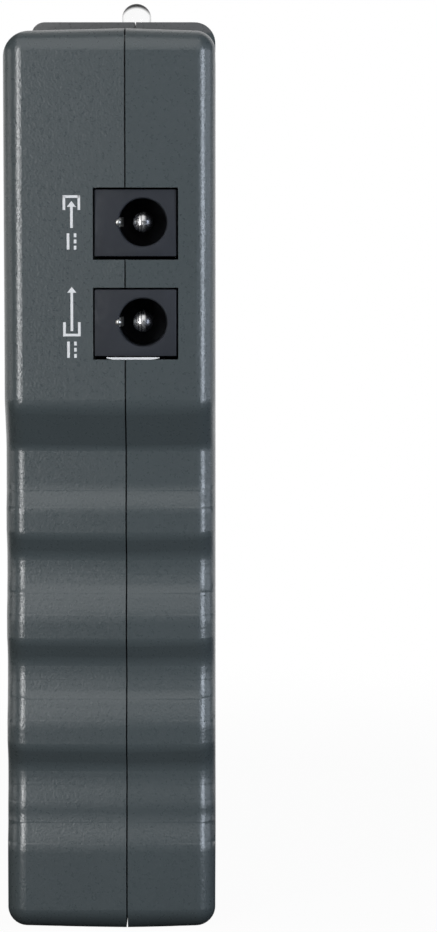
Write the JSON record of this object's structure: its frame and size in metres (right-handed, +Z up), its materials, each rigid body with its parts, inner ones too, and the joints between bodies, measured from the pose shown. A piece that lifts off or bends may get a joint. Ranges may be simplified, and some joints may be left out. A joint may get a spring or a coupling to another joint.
{
  "type": "power over ethernet tester",
  "caption": "Hand-held power over ethernet tester in a two-shell dark grey case with a waved grip, power jacks on one flank, network jacks on the other and a clear lamp on its crown.",
  "frame": {"origin": "middle of the bounding box at the foot that the tester stands on", "axes": "+Z up the case to the lamp, +X out of the flank with the power jacks, -Y out of the front with the key"},
  "size_m": [0.072, 0.029, 0.1296],
  "materials": {
    "case_plastic": "finely textured moulded plastic, dark grey green",
    "jack_plastic": "plain black moulding",
    "pin_metal": "bright plated",
    "spring_metal": "plated spring strip",
    "contact_gold": "gold flash",
    "shield_steel": "tinned sheet",
    "strip_white": "plain white",
    "clear_lens": "water clear",
    "board_green": "solder mask",
    "chip_black": "moulded black",
    "can_aluminium": "drawn can",
    "screw_steel": "zinc plated, dulled",
    "key_plastic": "satin moulding",
    "battery_wrap": "plain printed wrap",
    "foam": "soft foam",
    "lamp_green": "tinted lamp, unlit",
    "lamp_red": "tinted lamp, unlit"
  },
  "bodies": {
    "case": {"back_shell": "case_plastic", "battery": "battery_wrap", "battery_clips": "pin_metal", "battery_door": "case_plastic", "battery_holder": "jack_plastic", "battery_pad": "foam", "board_screws": "screw_steel", "bridge_rectifier_1": "chip_black", "bridge_rectifier_2": "chip_black", "bulk_capacitor": "can_aluminium", "case_screws": "screw_steel", "controller_chip": "chip_black", "dc_in_contact": "spring_metal", "dc_in_jack": "jack_plastic", "dc_in_pin": "pin_metal", "dc_out_contact": "spring_metal", "dc_out_jack": "jack_plastic", "dc_out_pin": "pin_metal", "door_screw": "screw_steel", "front_shell": "case_plastic", "indicator_left_1": "lamp_green", "indicator_left_2": "lamp_green", "indicator_left_3": "lamp_green", "indicator_left_4": "lamp_green", "indicator_right_1": "lamp_red", "indicator_right_2": "lamp_red", "indicator_right_3": "lamp_red", "indicator_right_4": "lamp_red", "jack_strip": "strip_white", "key_switch": "jack_plastic", "lamp_holder_left": "jack_plastic", "lamp_holder_right": "jack_plastic", "lan_in_contacts": "contact_gold", "lan_in_insert": "jack_plastic", "lan_in_shield": "shield_steel", "lan_magnetics": "chip_black", "lan_out_contacts": "contact_gold", "lan_out_insert": "jack_plastic", "lan_out_shield": "shield_steel", "main_board": "board_green", "power_inductor": "chip_black", "supply_transformer": "chip_black", "top_lamp": "clear_lens", "top_lamp_leads": "pin_metal"},
    "key": {"test_key": "key_plastic", "switch_plunger": "key_plastic"}
  },
  "joints": [
    {"name": "key_press", "type": "slide", "parent": "case", "child": "key", "axis": [0, 1, 0], "range_m": [0, 0.0005], "stiffness_N_per_m": 600, "springref_m": -0.0005}
  ]
}
